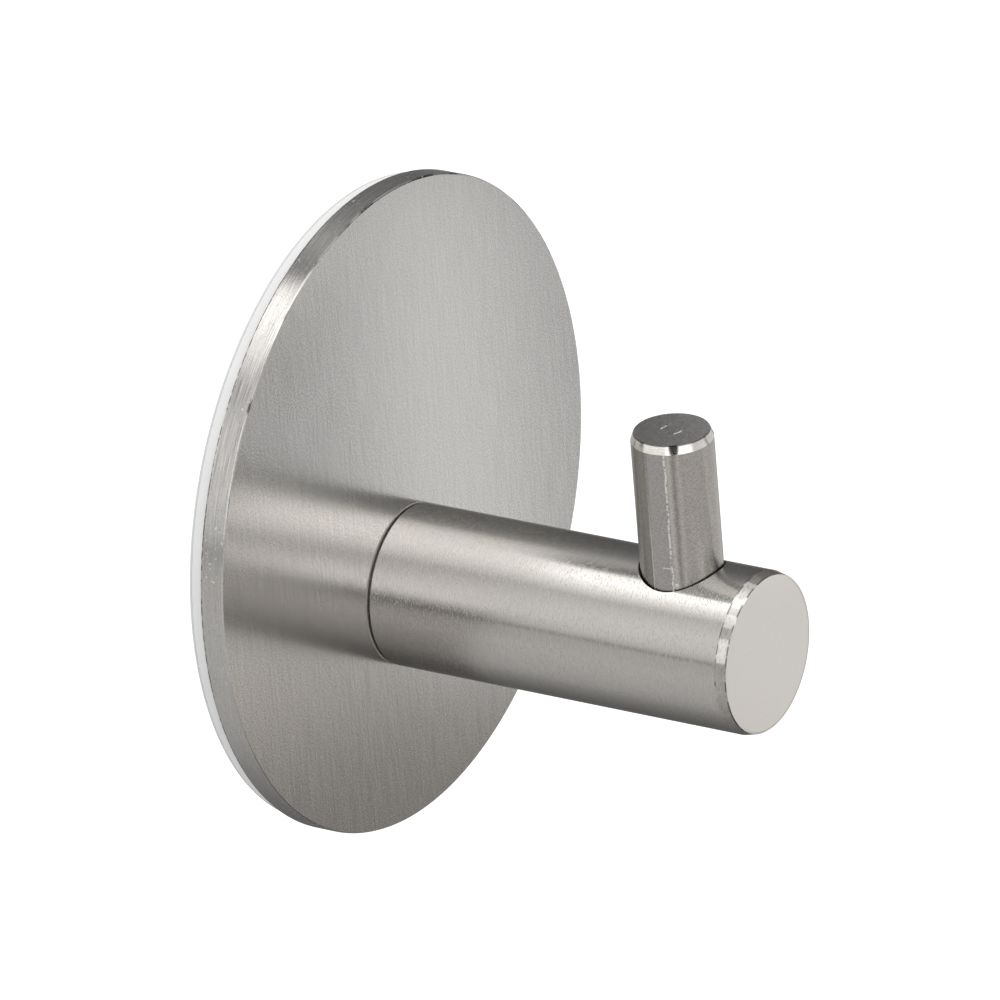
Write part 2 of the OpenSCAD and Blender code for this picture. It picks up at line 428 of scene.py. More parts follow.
def outwards(mesh):
    """Turns a closed mesh's faces outwards where its enclosed volume comes out negative."""
    corners = np.empty(len(mesh.vertices) * 3)
    mesh.vertices.foreach_get("co", corners)
    corners = corners.reshape(-1, 3)
    mesh.calc_loop_triangles()
    triangles = np.empty(len(mesh.loop_triangles) * 3, dtype=np.int32)
    mesh.loop_triangles.foreach_get("vertices", triangles)
    a, b, c = (corners[triangles[k::3]] for k in range(3))
    if np.einsum("ij,ij->", a, np.cross(b, c)) < 0:
        mesh.flip_normals()


def out_of_wall(points, z=0.0):
    """Places a shape that is drawn about its own height axis so that its height runs out of the wall."""
    return np.stack([points[:, 0], -points[:, 2], points[:, 1] + z], axis=1)


plate_profile = [
    (screw_hole_r, plate_front, post_z),
    (post_r, plate_front, post_z),
    (plate_r - edge_break, plate_front),
    (plate_r - corner_share * edge_break, plate_front - corner_share * edge_break),
    (plate_r, plate_front - edge_break),
    (plate_r, plate_back + edge_break),
    (plate_r - corner_share * edge_break, plate_back + corner_share * edge_break),
    (plate_r - edge_break, plate_back),
    (sink_r, plate_back, post_z),
    (sink_r, plate_back + sink_rim, post_z),
    (screw_hole_r, plate_back + sink_rim + sink_r - screw_hole_r, post_z),
]
points, faces = turned(plate_profile, closed=True)
base_plate = new_piece("brushed_plate", out_of_wall(points), faces, "base_plate", radians(20))

# Brushed steel: where the speck noise becomes a pit, the parts of the tone that colour and roughness run
# over, how far roughness swings about its own level, and how dark the painted shade in a pit is beside the
# steel round it.
pit_noise = (0.60, 0.70)
tone_color, tone_rough = (0.36, 0.64), (0.3, 0.7)
rough_swing, pit_shade_level = 0.08, 0.2
along_y, along_z = (0, 1, 0), (0, 0, 1)


def brushed_group():
    """Brush marks, specks and pits of ground steel. Strokes and Specks are places divided by the sizes of
    the marks and the specks. Tone is a mask about 0.5 for colour and roughness, in which the strokes have
    Share and the specks the rest. Height feeds a Bump node, and Pits is 1 in small sparse pits, which lower
    the height by Depth."""
    group, given, result = new_group(
        "brush_marks",
        [("Strokes", "NodeSocketVector", None), ("Specks", "NodeSocketVector", None),
         ("Depth", "NodeSocketFloat", 0.0), ("Share", "NodeSocketFloat", 0.5)],
        [("Tone", "NodeSocketFloat", None), ("Height", "NodeSocketFloat", None),
         ("Pits", "NodeSocketFloat", None)])
    n = Nodes(group)
    stroke_place, speck_place, depth, share = given.outputs[:4]
    strokes = n.add("ShaderNodeTexNoise", stroke_place, None, 1.0, 2.0, 0.5).outputs[0]
    specks = n.add("ShaderNodeTexNoise", speck_place, None, 1.0, 1.0, 0.5).outputs[0]
    pits = n.smooth(specks, *pit_noise)
    tone = n.math("MULTIPLY_ADD", n.math("SUBTRACT", strokes, specks), share, specks)
    n.put(result.inputs["Tone"], tone)
    n.put(result.inputs["Height"], n.math("SUBTRACT", tone, n.math("MULTIPLY", pits, depth)))
    n.put(result.inputs["Pits"], pits)
    return group


brush_marks = brushed_group()


def shades(color, contrast):
    """A darker and a lighter shade of a colour."""
    return (tuple(c * (1 - contrast) for c in color) + (1,),
            tuple(min(c * (1 + contrast), 1) for c in color) + (1,))


def raised(n, shader, height, depth):
    """Ends a material with a bump on its shader, whose height is in units of depth."""
    bump = n.add("ShaderNodeBump")
    bump.inputs["Strength"].default_value = 1.0
    bump.inputs["Distance"].default_value = depth
    n.put(bump.inputs["Height"], height)
    n.put(shader.inputs["Normal"], bump.outputs[0])
    n.add("ShaderNodeOutputMaterial", shader.outputs[0])


def brushed_steel(name, color, roughness, anisotropy, tangent, strokes, specks, depth, contrast=0.1,
                  pit_depth=0.0, pit_shade=0.0, metal=1.0, share=0.5, marks=None):
    """Brushed steel. strokes and specks are the sizes of its marks in millimetres along X, Y and Z, share is
    the strokes' part in its tone and tangent the axis that light is spread along, or None. marks adds a
    piece's own marks to colour and roughness, and to Metallic where it returns a third value."""
    steel, n = new_material(name)
    place = n.add("ShaderNodeTexCoord").outputs["Object"]
    texture = n.add("ShaderNodeGroup", node_tree=brush_marks)
    for slot, sizes in enumerate((strokes, specks)):
        scale = tuple(1 / (size * mm) for size in sizes)
        n.put(texture.inputs[slot], n.vector("MULTIPLY", place, scale))
    texture.inputs["Depth"].default_value = pit_depth
    texture.inputs["Share"].default_value = share
    tone, height, pits = texture.outputs
    shader = n.add("ShaderNodeBsdfPrincipled")
    dark, light = shades(color, contrast)
    painted = n.mix(n.smooth(tone, *tone_color), dark, light)
    # The pits get painted shade: their colour is darkened towards a fraction of the steel's own.
    if pit_shade:
        shaded_pit = tuple(pit_shade_level * c for c in color) + (1,)
        painted = n.mix(n.math("MULTIPLY", pits, pit_shade), painted, shaded_pit)
    rough = n.smooth(tone, *tone_rough, roughness * (1 - rough_swing), roughness * (1 + rough_swing))
    if marks:
        painted, rough, metal = (*marks(n, place, painted, rough), metal)[:3]
    n.put(shader.inputs["Base Color"], painted)
    n.put(shader.inputs["Roughness"], rough)
    n.put(shader.inputs["Metallic"], metal)
    shader.inputs["Anisotropic"].default_value = anisotropy
    if tangent:
        turned_tangent = n.add("ShaderNodeVectorTransform", tangent, vector_type="VECTOR",
                               convert_from="OBJECT", convert_to="WORLD")
        n.put(shader.inputs["Tangent"], turned_tangent.outputs[0])
    raised(n, shader, height, depth * mm)
    return steel


def noise(n, place, size, detail=1.0):
    """Soft random value about 0.5 with features of a size in metres."""
    return n.add("ShaderNodeTexNoise", place, None, 1 / size, detail, 0.5).outputs[0]


# Marks of the turned edge, partly painted shade and light: how far from its corners they start and are
# full, the heights between which they grow from their least to full strength, stronger higher up, the sizes
# of the noise that breaks them up and the levels of it that make each mark.
dash_reach, corner_reach = (0.22 * mm, 0.14 * mm), (0.22 * mm, 0.15 * mm)
marks_z, marks_least = (2 * mm, 18 * mm), 0.2
scratch_size, dash_size, stretch_size, nick_glint_size = 1.0 * mm, 0.7 * mm, 6 * mm, 0.4 * mm
dash_noise, corner_noise, stretch_noise, nick_glint_noise = (0.44, 0.52), (0.48, 0.53), (0.48, 0.54), (0.64, 0.70)
scored_noise, scored_share, glint_noise, glint_share = (0.60, 0.66), 0.45, (0.40, 0.35), 0.5
shade_and_scratch_black = (0.05, 0.048, 0.045, 1)
glint_white = (0.97, 0.95, 0.92, 1)
scratch_glint = (0.95, 0.93, 0.90, 1)


def rim_marks(n, place, painted, rough):
    """The turned edge's own marks: dark dashes of painted shade where it meets the pad, a dark line of
    painted reflection on parts of its front corner, long fine scratches round it, the light ones painted as
    glints, and a few bright nick marks that are partly painted highlight. The corner line and the scratches
    grow stronger higher up."""
    _, y, z = n.parts(place)
    out = n.math("MULTIPLY", y, -1.0)
    round_edge = n.vector("MULTIPLY", place, (1, 0, 1))
    scratches = noise(n, n.vector("MULTIPLY", place, (0.2, 16, 0.2)), scratch_size)
    # Dark dashes of painted shade where the edge meets the pad.
    at_pad = n.smooth(out, *(plate_back + reach for reach in dash_reach))
    dashes = n.math("MULTIPLY", at_pad, n.smooth(noise(n, round_edge, dash_size), *dash_noise))
    stretch = noise(n, round_edge, stretch_size)
    # The marks grow stronger higher up the edge, as painted reflection and shade.
    high_marks = n.smooth(z, *marks_z, marks_least)
    # A dark line of painted reflection on parts of the front corner.
    at_corner = n.smooth(out, *(plate_front - reach for reach in corner_reach))
    corner = n.math("MULTIPLY", at_corner, n.smooth(n.math("MULTIPLY", stretch, high_marks), *corner_noise))
    scored = n.math("MULTIPLY", n.smooth(scratches, *scored_noise), n.math("MULTIPLY", high_marks, scored_share))
    dark = n.math("MAXIMUM", n.math("MAXIMUM", dashes, corner), scored)
    # Light scratches painted as glints, a painted highlight.
    glints = n.math("MULTIPLY", n.smooth(scratches, *glint_noise), n.math("MULTIPLY", high_marks, glint_share))
    # Bright nick marks, partly chips and partly painted highlight.
    nick_glints = n.smooth(noise(n, place, nick_glint_size, 2.0), *nick_glint_noise)
    nick_glints = n.math("MULTIPLY", nick_glints, n.smooth(stretch, *stretch_noise))
    painted = n.mix(n.math("MULTIPLY", dark, 0.85), painted, shade_and_scratch_black)
    painted = n.mix(glints, painted, scratch_glint)
    painted = n.mix(nick_glints, painted, glint_white)
    return painted, n.math("MULTIPLY_ADD", nick_glints, 0.25, rough)


steel_color = (0.612, 0.60, 0.583)
plate_face = brushed_steel("plate_face", steel_color, 0.2, 0.0, None, strokes=(0.35, 2, 6.0),
                           specks=(0.22, 1, 0.14), depth=0.0002, contrast=0.14, metal=0.9, share=0.25)
plate_rim = brushed_steel("plate_rim", (0.585, 0.577, 0.565), 0.2, 0.9, along_y, strokes=(1.2, 0.11, 1.2),
                          specks=(0.3, 0.12, 0.3), depth=0.004, contrast=0.07, pit_depth=1.0, pit_shade=0.3,
                          metal=0.9, marks=rim_marks)


def paint_faces(piece, materials, choose):
    """Gives a piece its materials and each face the one whose number choose(centres, normals) returns."""
    mesh = piece.data
    mesh.materials.clear()
    for material in materials:
        mesh.materials.append(material)
    count = len(mesh.polygons)
    centres, normals = np.empty(count * 3), np.empty(count * 3)
    mesh.polygons.foreach_get("center", centres)
    mesh.polygons.foreach_get("normal", normals)
    chosen = choose(centres.reshape(-1, 3), normals.reshape(-1, 3))
    mesh.polygons.foreach_set("material_index", chosen.astype(np.int32))


paint_faces(base_plate, [plate_face, plate_rim], lambda centres, normals: np.abs(normals[:, 1]) < 0.99)

# Post: a 16 mm round bar, ground fine round its side, its free end faced and bevelled. A pocket across
# it takes the foot of the peg, and a tapped hole behind takes the fixing screw.
post_out, post_end = -post_high[1], -post_low[1]
bevel_len, bevel_in = 1.1 * mm, 0.28 * mm
face_depth = 0.02 * mm
foot_gap, foot_gap_in, foot_edge = 0.15 * mm, 0.6 * mm, 0.1 * mm
peg_low, peg_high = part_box("peg")
peg_r = peg_high[0]
peg_out = -(peg_low[1] + peg_high[1]) / 2
pocket_clear = 0.2 * mm
pocket_r = peg_r + pocket_clear
pocket_land = 0.8 * mm
pocket_floor = sqrt(post_r ** 2 - pocket_r ** 2) - pocket_land
tapped_r, tapped_lead, tapped_end = 2.05 * mm, 0.3 * mm, 14.8 * mm
spigot_hole_r, spigot_hole_end = 2.55 * mm, 8.2 * mm
drill_slope = tan(radians(31))
window_columns, window_rows, window_rings = 104, 48, 14
window_half, window_spread = 6.0 * mm, 1.3
rows_before, rows_after, pocket_rows = 12, 3, 4


def post_side():
    """The bar's round side with a window round the pocket, in two patches. The first is the cylinder's grid
    of angle and distance with the window's cells left out. The second runs from the window's rim in to the
    pocket's rim: each point is a blend, in arc length and distance, of its places on the two rims."""
    angle = np.arange(columns) * 2 * pi / columns
    start = columns // 4 - window_columns // 2
    inside = np.linspace(peg_out - window_half, peg_out + window_half, window_rows + 1)
    before = np.linspace(post_out + foot_gap + foot_edge, inside[0], rows_before)[:-1]
    after = np.linspace(inside[-1], post_end - bevel_len, rows_after)[1:]
    rows = np.concatenate([before, inside, after])
    side = np.stack([np.tile(post_r * np.cos(angle), (len(rows), 1)),
                     np.tile(post_r * np.sin(angle), (len(rows), 1)),
                     np.tile(rows[:, None], (1, columns))], axis=-1)
    faces = grid_faces(len(rows), columns, wrap_columns=True)
    row, column = faces[:, 0] // columns, faces[:, 0] % columns
    cut = ((row >= len(before)) & (row < len(before) + window_rows)
           & (column >= start) & (column < start + window_columns))
    arc = (np.arange(window_columns + 1) - window_columns / 2) * 2 * pi / columns * post_r
    far, near = inside[-1] - peg_out, inside[0] - peg_out
    rim_arc = np.concatenate([arc[:-1], np.full(window_rows, arc[-1]),
                              arc[:0:-1], np.full(window_rows, arc[0])])
    rim_out = np.concatenate([np.full(window_columns, near), (inside - peg_out)[:-1],
                              np.full(window_columns, far), (inside - peg_out)[:0:-1]])
    turn = np.arctan2(rim_out, rim_arc)
    hole_arc = post_r * np.arcsin(pocket_r * np.cos(turn) / post_r)
    hole_out = pocket_r * np.sin(turn)
    share = np.linspace(0, 1, window_rings + 1)[:, None] ** window_spread
    arcs = (1 - share) * hole_arc + share * rim_arc
    outs = (1 - share) * hole_out + share * rim_out
    turns = arcs / post_r
    patch = np.stack([post_r * np.sin(turns), post_r * np.cos(turns), outs + peg_out], axis=-1)
    patch_faces = grid_faces(window_rings + 1, len(turn), wrap_columns=True)
    pocket = [np.stack([pocket_r * np.cos(turn), (1 - s) * patch[0, :, 1] + s * pocket_floor,
                        peg_out + pocket_r * np.sin(turn)], axis=-1) for s in np.linspace(0, 1, pocket_rows)]
    bore = [(spigot_hole_r + tapped_lead, pocket_floor), (spigot_hole_r, pocket_floor - tapped_lead),
            (spigot_hole_r, pocket_floor - spigot_hole_end),
            (0.0, pocket_floor - spigot_hole_end - spigot_hole_r * drill_slope)]
    pocket += [np.stack([radius * np.cos(turn), np.full(len(turn), height),
                         peg_out + radius * np.sin(turn)], axis=-1) for radius, height in bore]
    pocket = np.array(pocket)
    return [(side.reshape(-1, 3), faces[~cut]), (patch.reshape(-1, 3), patch_faces),
            (pocket.reshape(-1, 3), grid_faces(len(pocket), len(turn), wrap_columns=True)[:, ::-1])]


post_foot = [
    (0.0, post_out + tapped_end + tapped_r * drill_slope),
    (tapped_r, post_out + tapped_end), (tapped_r, post_out + tapped_lead),
    (tapped_r + tapped_lead, post_out),
    (post_r - foot_gap_in, post_out), (post_r - foot_gap_in, post_out + foot_gap),
    (post_r - foot_edge, post_out + foot_gap), (post_r, post_out + foot_gap + foot_edge),
]
bevel_round = 0.05 * mm
post_tip = [
    (post_r, post_end - bevel_len),
    (post_r - bevel_in + bevel_round, post_end - 2 * bevel_round),
    (post_r - bevel_in - corner_share * bevel_round, post_end), (0.0, post_end),
]
points, faces = weld(turned(post_foot), *post_side(), turned(post_tip))
post = new_piece("ground_post", out_of_wall(points, post_z), faces, "post")

# Painted highlights on the bevel, in bright patches: where each starts and ends round the post's axis, and
# its strength.
highlight_patches = ((radians(98), radians(121), 0.9), (radians(129), radians(137), 0.6),
                  (radians(147), radians(162), 0.9))
highlight_soft = radians(2)
inner_line_turn = (radians(85), radians(95))
inner_line_reach, outer_line_reach = (0.14 * mm, 0.06 * mm), (0.16 * mm, 0.08 * mm)
chatter_size, line_size = 0.17 * mm, 1.2 * mm
chatter_noise, line_noise, chatter_share = (0.52, 0.64), (0.38, 0.50), 0.28
scratch_and_glint_metal = (0.98, 0.965, 0.94, 1)
chatter_and_shade_black = (0.06, 0.057, 0.053, 1)


def bevel_marks(n, place, painted, rough):
    """The bevel's chatter, short dark strokes straight across it, with light patches of painted highlight,
    and a thin dark line of painted shade on its outer corner and, on the upper left, on its inner one."""
    out = n.math("MULTIPLY", n.parts(place)["Y"], -1.0)
    round_bevel = n.vector("MULTIPLY", place, (1, 0.15, 1))
    x, _, z = n.parts(n.vector("ADD", place, (0, 0, -post_z)))
    turn = n.math("ARCTAN2", z, x)
    patches = 0.0
    for low, high, strength in highlight_patches:
        patch = n.math("MULTIPLY", n.smooth(turn, low - highlight_soft, low, 0.0, strength),
                       n.smooth(turn, high + highlight_soft, high))
        patches = n.math("MAXIMUM", patches, patch)
    across_bevel = n.vector("MULTIPLY", place, (0.35, 1, 0.35))
    chatter = n.smooth(noise(n, across_bevel, chatter_size, 2.0), *chatter_noise)
    inner_line = n.smooth(out, *(post_end - bevel_len + reach for reach in inner_line_reach))
    inner_line = n.math("MULTIPLY", n.smooth(turn, *inner_line_turn), inner_line)
    outer_line = n.smooth(out, *(post_end - reach for reach in outer_line_reach))
    line = n.math("MULTIPLY", n.math("MAXIMUM", inner_line, outer_line),
                  n.smooth(noise(n, round_bevel, line_size), *line_noise))
    dark = n.math("MAXIMUM", n.math("MULTIPLY", chatter, chatter_share), line)
    # The patches are painted highlights; the dark strokes are chatter and the corner lines painted shade.
    painted = n.mix(n.math("MULTIPLY", patches, 0.95), painted, scratch_and_glint_metal)
    painted = n.mix(n.math("MULTIPLY", dark, 0.8), painted, chatter_and_shade_black)
    return painted, n.math("MULTIPLY_ADD", patches, 0.2, rough)


# A thin grey line of painted shade on the end's outer rim, low on the right.
rim_line_reach = (0.28 * mm, 0.14 * mm)
rim_line_axis, rim_line_side = (0.77, 0, -0.64), (-2 * mm, 3 * mm)
rim_shade_color, rim_line_share = (0.2, 0.195, 0.19, 1), 0.32


def face_marks(n, place, painted, rough):
    """A thin grey line of painted shade where the faced end meets the bevel, on the lower right, as a ring
    about the axis.
    """
    flat = n.vector("MULTIPLY", n.vector("ADD", place, (0, 0, -post_z)), (1, 0, 1))
    at_rim = n.smooth(n.vector("LENGTH", flat), *(post_r - bevel_in - reach for reach in rim_line_reach))
    low_right = n.smooth(n.vector("DOT_PRODUCT", flat, rim_line_axis), *rim_line_side)
    line = n.math("MULTIPLY", at_rim, low_right)
    return n.mix(n.math("MULTIPLY", line, rim_line_share), painted, rim_shade_color), rough


post_skin = brushed_steel("post_side", steel_color, 0.15, 0.95, along_y, strokes=(0.9, 0.13, 0.9),
                          specks=(0.36, 0.12, 0.36), depth=0.006, contrast=0.055, pit_depth=1.5,
                          pit_shade=0.12)
# The faced end's colour is painted far lighter than the side's steel, a painted highlight for the light it
# catches.
lit_end_steel = brushed_steel("post_end", (0.915, 0.888, 0.852), 0.33, 0.0, None, strokes=(0.25, 2, 0.25),
                          specks=(0.4, 1, 0.4), depth=0.0006, contrast=0.015, marks=face_marks)
post_bevel = brushed_steel("post_bevel", (0.56, 0.545, 0.525), 0.3, 0.6, along_y, strokes=(0.9, 0.14, 0.9),
                           specks=(0.2, 0.14, 0.2), depth=0.006, contrast=0.12, pit_depth=1.0, pit_shade=0.3,
                           marks=bevel_marks)
# The broken corner at the foot is painted near white with less metal, a painted highlight.
foot_corner_glint = brushed_steel("foot_corner_glint", (0.95, 0.935, 0.91), 0.5, 0.0, None, strokes=(1.0, 0.1, 1.0),
                            specks=(0.3, 0.1, 0.3), depth=0.002, contrast=0.05, metal=0.5)


def post_parts(centres, normals):
    """0 on the side and the holes, 1 on the faced end, 2 on the bevel, 3 on the broken corner at the foot."""
    out = -centres[:, 1]
    corner = (out < post_out + foot_gap + foot_edge) & (np.abs(normals[:, 1] - sqrt(0.5)) < 0.1)
    return np.select([out > post_end - face_depth, out > post_end - bevel_len, corner], [1, 2, 3], 0)


paint_faces(post, [post_skin, lit_end_steel, post_bevel, foot_corner_glint], post_parts)

# Peg: an 8 mm round bar, its top faced and bevelled bright. Its threaded spigot is turned on it below
# a plain neck and screws into the post's pocket.
peg_top = peg_high[2]
peg_bevel_h, peg_bevel_in = 0.85 * mm, 0.35 * mm
spigot_r, spigot_pitch, spigot_depth = 2.5 * mm, 0.8 * mm, 0.45 * mm
neck_len, neck_in, neck_step = 1.0 * mm, 0.45 * mm, 0.02 * mm
thread_lead = 0.05 * mm
peg_ring, bevel_top, bevel_most = 8 * mm, 0.12 * mm, 0.8
thread_root, thread_flank = 0.1, 0.75


def threaded(radius, pitch, depth, start, end, count, steps=10):
    """Screw thread as a grid of angle and height: the radius falls by depth and rises again once a pitch,
    as a triangle wave of height / pitch - turn, and fades to the plain core at both ends."""
    heights = np.arange(start, end + pitch / steps / 2, pitch / steps)
    turn = np.arange(count) / count
    wave = np.abs(((heights[:, None] / pitch - turn) % 1) * 2 - 1)
    crest = np.clip((wave - thread_root) / thread_flank, 0, 1)
    fade = np.clip(np.minimum(heights - start, end - heights) / pitch, 0, 1)[:, None]
    radii = radius - depth + depth * crest * fade
    return [(ring, height) for ring, height in zip(radii, heights)]


peg_seat = post_z + pocket_floor
peg_tip = peg_low[2]
peg_columns = 160
peg_profile = [(0.0, peg_tip), (spigot_r - spigot_depth, peg_tip)]
peg_profile += threaded(spigot_r, spigot_pitch, spigot_depth, peg_tip + thread_lead, peg_seat - neck_len,
                        peg_columns)
peg_profile += [
    (spigot_r - neck_in, peg_seat - neck_len + neck_step), (spigot_r - neck_in, peg_seat), (peg_r, peg_seat),
    (peg_r, peg_top - peg_bevel_h - peg_ring), (peg_r, peg_top - peg_bevel_h),
    (peg_r - bevel_most * peg_bevel_in, peg_top - bevel_top), (peg_r - peg_bevel_in, peg_top), (0.0, peg_top),
]
points, faces = weld(turned(peg_profile, peg_columns))
peg = new_piece("upright_peg", points + [0, -peg_out, 0], faces, "peg")
# Marks down the peg are placed by their turn round its axis from the side that faces the camera.
peg_front = radians(-146.16)
waver_size, break_size, break_noise = 1.6 * mm, 0.28 * mm, (0.42, 0.50)
line_turn, line_half, line_waver = radians(-15), 0.13 * mm, 0.16 * mm
thin_line_turn, thin_line_half = radians(-44), 0.08 * mm
thin_line_z, thin_line_share = (9 * mm, 3 * mm), (0.25, 0.8)
cross_turn, cross_half, cross_z, cross_thick = radians(-21), 0.75 * mm, 0.77 * mm, (0.07 * mm, 0.03 * mm)
nick_turn, nick_half, nick_z, nick_thick = radians(-9.6), 0.22 * mm, -0.95 * mm, (0.2 * mm, 0.1 * mm)


def on_peg(n, place, turn, size, waver=0.0):
    """1 within size of the line down the peg that lies turn round from the side facing the camera."""
    angle = peg_front + turn
    moved = n.vector("ADD", place, (0, peg_out, 0))
    aside = n.vector("DOT_PRODUCT", moved, (-sin(angle), cos(angle), 0))
    toward = n.vector("DOT_PRODUCT", moved, (cos(angle), sin(angle), 0))
    shift = n.math("MULTIPLY_ADD", noise(n, place, waver_size), 2 * waver, -waver)
    away = n.math("ABSOLUTE", n.math("ADD", aside, shift))
    near_side = n.smooth(toward, 0, 0.5 * peg_r)
    return n.math("MULTIPLY", n.smooth(away, size, 0.4 * size), near_side)


def peg_marks(n, place, painted, rough):
    """Two thin light lines down the peg, the first broken and wavering, a short cross scratch and a nick:
    scratch marks that are painted near white, partly as painted highlight.
    """
    height = n.parts(place)["Z"]
    broken = n.smooth(noise(n, place, break_size, 2.0), *break_noise)
    first = n.math("MULTIPLY", on_peg(n, place, line_turn, line_half, line_waver), broken)
    second = n.math("MULTIPLY", on_peg(n, place, thin_line_turn, thin_line_half),
                    n.smooth(height, *thin_line_z, *thin_line_share))
    at_cross = n.smooth(n.math("ABSOLUTE", n.math("SUBTRACT", height, cross_z)), *cross_thick)
    cross = n.math("MULTIPLY", at_cross, on_peg(n, place, cross_turn, cross_half))
    at_nick = n.smooth(n.math("ABSOLUTE", n.math("SUBTRACT", height, nick_z)), *nick_thick)
    nick = n.math("MULTIPLY", at_nick, on_peg(n, place, nick_turn, nick_half))
    mask = n.math("MAXIMUM", n.math("MAXIMUM", first, second), n.math("MAXIMUM", cross, nick))
    # The marks are painted near white, partly as painted highlight.
    painted = n.mix(n.math("MULTIPLY", mask, 0.95), painted, scratch_and_glint_metal)
    return painted, n.math("MULTIPLY_ADD", mask, 0.3, rough)


top_line_reach = (0.14 * mm, 0.08 * mm)


def bevel_shade_line(n, place, painted, rough):
    """A thin dark line of painted shade where the bevel meets the top."""
    height = n.parts(place)["Z"]
    line = n.smooth(height, *(peg_top - reach for reach in top_line_reach))
    return n.mix(n.math("MULTIPLY", line, 0.85), painted, shade_and_scratch_black), rough


# The arcs on the top, tool marks painted as highlights: their radius and width, the noise that breaks them
# up, the straight gap that parts them and how it is turned. Then the painted shade of the face from left to
# right.
arc_r, arc_half, arc_break, arc_noise = 1.0 * mm, (0.13 * mm, 0.05 * mm), 0.25 * mm, (0.40, 0.50)
arc_gap, arc_turn = (0.82 * mm, 0.88 * mm), radians(72)
top_painted_shade_side, top_painted_shade = (-3.4 * mm, 3.8 * mm), (0.84, 1.16)


def top_marks(n, place, painted, rough):
    """Light arcs that the facing tool left near the middle, as parts of rings about the peg's axis, painted
    white with less metal in them as a painted highlight. Painted shade makes the face a little darker on the
    left and lighter on the right."""
    flat = n.vector("MULTIPLY", n.vector("ADD", place, (0, peg_out, 0)), (1, 1, 0))
    from_arc = n.math("SUBTRACT", n.vector("LENGTH", flat), arc_r)
    ring = n.smooth(n.math("ABSOLUTE", from_arc), *arc_half)
    across = n.vector("DOT_PRODUCT", flat, (cos(arc_turn), sin(arc_turn), 0))
    ring = n.math("MULTIPLY", ring, n.smooth(n.math("ABSOLUTE", across), *arc_gap))
    ring = n.math("MULTIPLY", ring, n.smooth(noise(n, place, arc_break), *arc_noise))
    aside = n.smooth(n.vector("DOT_PRODUCT", flat, tuple(level_right)), *top_painted_shade_side)
    shade = n.mix(aside, *(grey(level) for level in top_painted_shade))
    painted = n.mix(1.0, painted, shade, blend="MULTIPLY")
    # The arcs are painted white with less metal in them, a painted highlight.
    painted = n.mix(ring, painted, glint_white)
    return painted, rough, n.math("SUBTRACT", 1.0, n.math("MULTIPLY", ring, 0.7))


peg_skin = brushed_steel("peg_side", (0.472, 0.462, 0.450), 0.2, 0.95, along_z, strokes=(0.5, 0.5, 0.15),
                         specks=(0.2, 0.2, 0.18), depth=0.0022, contrast=0.13, pit_depth=0.8, pit_shade=0.12,
                         share=0.25, marks=peg_marks)
# The bevel's near-white colour is a painted highlight, far lighter than the peg's side and top.
peg_bright = brushed_steel("peg_bevel", (0.92, 0.90, 0.87), 0.14, 0.0, None, strokes=(1.2, 1.2, 0.09),
                           specks=(0.3, 0.3, 0.1), depth=0.0012, contrast=0.08, marks=bevel_shade_line)
peg_face = brushed_steel("peg_top", (0.52, 0.51, 0.50), 0.4, 0.0, None, strokes=(0.5, 0.5, 2),
                         specks=(0.2, 0.2, 1), depth=0.0012, contrast=0.13, share=0.2, marks=top_marks)
paint_faces(peg, [peg_skin, peg_bright, peg_face],
            lambda centres, normals: np.where(centres[:, 2] > peg_top - face_depth, 2,
                                              np.where(centres[:, 2] > peg_top - peg_bevel_h, 1, 0)))

# Fixing screw: a countersunk M4 screw with a hexagon socket, in plain stainless steel. It lies behind
# the plate, below the foam, and draws the post against the plate.
screw_low, screw_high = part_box("fixing_screw")
head_back, screw_tip = -screw_high[1], -screw_low[1]
head_r = screw_high[0]
screw_r, screw_pitch, screw_depth = 2.0 * mm, 0.7 * mm, 0.4 * mm
head_rim, head_edge = 0.2 * mm, 0.06 * mm
socket_flats, socket_depth = 2.5 * mm, 1.5 * mm
socket_lead, socket_flare = 0.15 * mm, 1.08
shank_plain, shank_step = 0.3 * mm, 0.6 * mm
screw_columns = 96
sides = np.arange(screw_columns) * 2 * pi / screw_columns
hexagon = socket_flats / 2 / np.cos((sides + pi / 6) % (pi / 3) - pi / 6)
head_seat = head_back + head_rim + head_r - screw_r
socket_end = head_back + socket_depth
screw_profile = [
    (0.0, socket_end + socket_flats / 2 * drill_slope), (socket_flats / 2, socket_end), (hexagon, socket_end),
    (hexagon, head_back + socket_lead), (hexagon * socket_flare, head_back), (head_r - head_edge, head_back),
    (head_r, head_back + head_edge), (head_r, head_back + head_rim), (screw_r, head_seat),
    (screw_r, head_seat + shank_plain), (screw_r - screw_depth, head_seat + shank_step),
]
screw_profile += threaded(screw_r, screw_pitch, screw_depth, head_seat + shank_step + thread_lead,
                          screw_tip - thread_lead, screw_columns)
screw_profile += [(screw_r - screw_depth, screw_tip), (0.0, screw_tip)]
points, faces = weld(turned(screw_profile, screw_columns))
fixing_screw = new_piece("countersunk_screw", out_of_wall(points, post_z), faces,
                         "fixing_screw")
screw_skin = brushed_steel("screw_surface", (0.52, 0.51, 0.50), 0.35, 0.3, along_y, strokes=(0.8, 0.1, 0.8),
                           specks=(0.2, 0.1, 0.2), depth=0.001, contrast=0.06)
paint_faces(fixing_screw, [screw_skin], lambda centres, normals: np.zeros(len(centres)))

# Foam pad: 1.2 mm white closed-cell foam, die-cut a little smaller than the plate, with an adhesive coat
# on either side and a milky film over the coat that goes on the wall.
pad_columns = 256
cut_round = 0.06 * mm


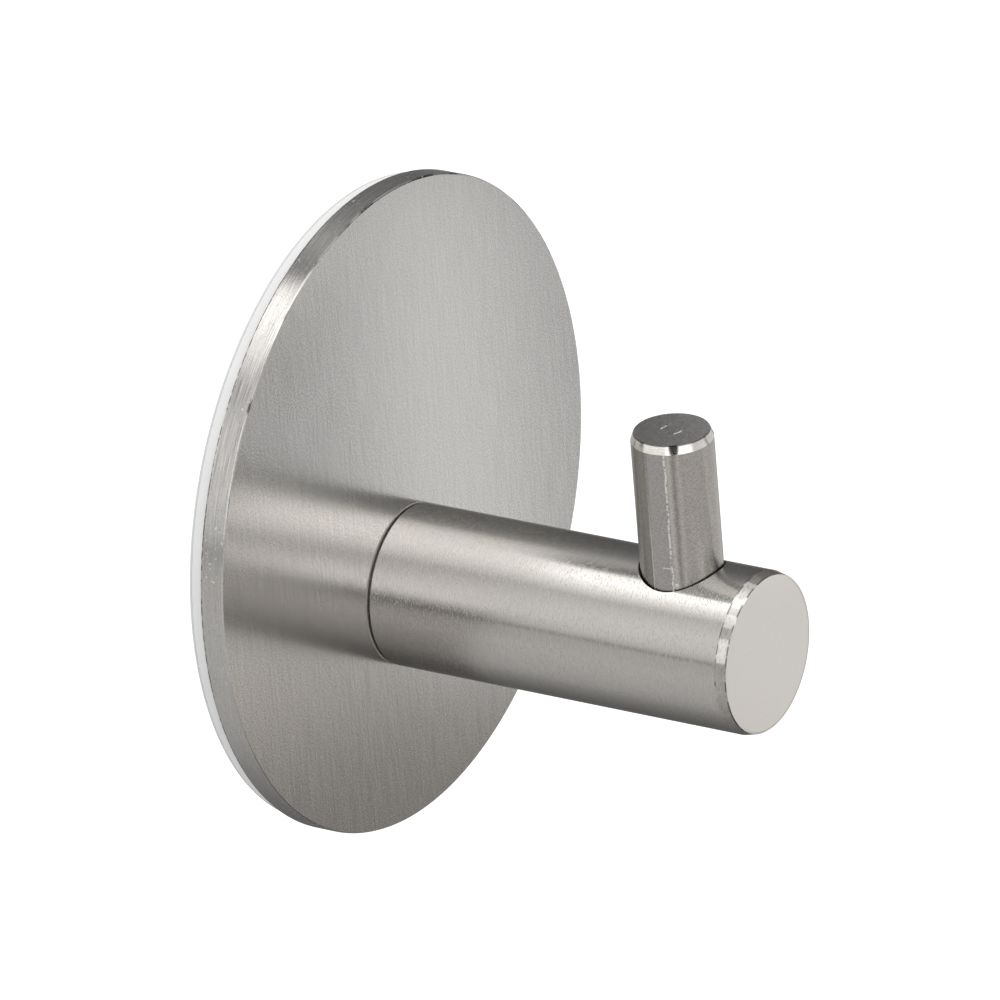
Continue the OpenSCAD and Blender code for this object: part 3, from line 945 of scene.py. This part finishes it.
def cut_disc(node, name, edge):
    """Disc in the place of a CAD disc, its rim rounded by edge as a die-cut sheet's is."""
    low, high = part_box(node)
    radius, back, front = high[0], -high[1], -low[1]
    middle = (back + front) / 2
    rows = [(0.0, back), (radius - 2 * edge, back), (radius - edge, back + corner_share * edge),
            (radius, middle),
            (radius - edge, front - corner_share * edge), (radius - 2 * edge, front), (0.0, front)]
    if front - back > 4 * edge:
        rows[3:4] = [(radius, back + edge), (radius, front - edge)]
    points, faces = weld(turned(rows, pad_columns))
    return new_piece(name, out_of_wall(points), faces, node, radians(40))


# Soft sheets: the cells' part in the tone beside broad clouds, the part of the tone that colour runs over and
# how far roughness swings.
cell_share, mask_color, sheet_swing = 0.6, (0.35, 0.65), 0.07


def soft_material(name, color, roughness, grain, depth, contrast):
    """Matt or glossy soft sheet with fine cells: noise colours it a little and lifts a bump."""
    sheet, n = new_material(name)
    place = n.add("ShaderNodeTexCoord").outputs["Object"]
    cells = n.add("ShaderNodeTexNoise", place, None, 1 / grain, 3.0, 0.6).outputs[0]
    cloud = n.add("ShaderNodeTexNoise", place, None, 1 / (40 * grain), 2.0, 0.5).outputs[0]
    shader = n.add("ShaderNodeBsdfPrincipled")
    mask = n.math("ADD", n.math("MULTIPLY", cells, cell_share), n.math("MULTIPLY", cloud, 1 - cell_share))
    dark, light = shades(color, contrast)
    n.put(shader.inputs["Base Color"], n.mix(n.smooth(mask, *mask_color), dark, light))
    n.put(shader.inputs["Roughness"], n.smooth(mask, *tone_rough, roughness * (1 - sheet_swing),
                                               min(roughness * (1 + sheet_swing), 1.0)))
    raised(n, shader, cells, depth)
    return sheet


foam = cut_disc("foam_core", "foam_pad", cut_round)
foam_color = (0.91, 0.909, 0.903)
foam.data.materials.append(soft_material("white_foam", foam_color, 0.85, 0.12 * mm, 0.01 * mm, 0.02))
coat_material = soft_material("clear_adhesive", (0.82, 0.83, 0.835), 0.25, 0.3 * mm, 0.004 * mm, 0.03)
film_material = soft_material("milky_film", (0.80, 0.82, 0.83), 0.3, 0.5 * mm, 0.003 * mm, 0.02)
thin_round = 0.02 * mm
for node, name, slot, material in (("plate_adhesive", "adhesive_on_plate", "adhesive", coat_material),
                                   ("wall_adhesive", "adhesive_on_wall", "adhesive", coat_material),
                                   ("release_liner", "peel_off_film", "liner_film", film_material)):
    cut_disc(node, name, thin_round).data.materials.append(material)
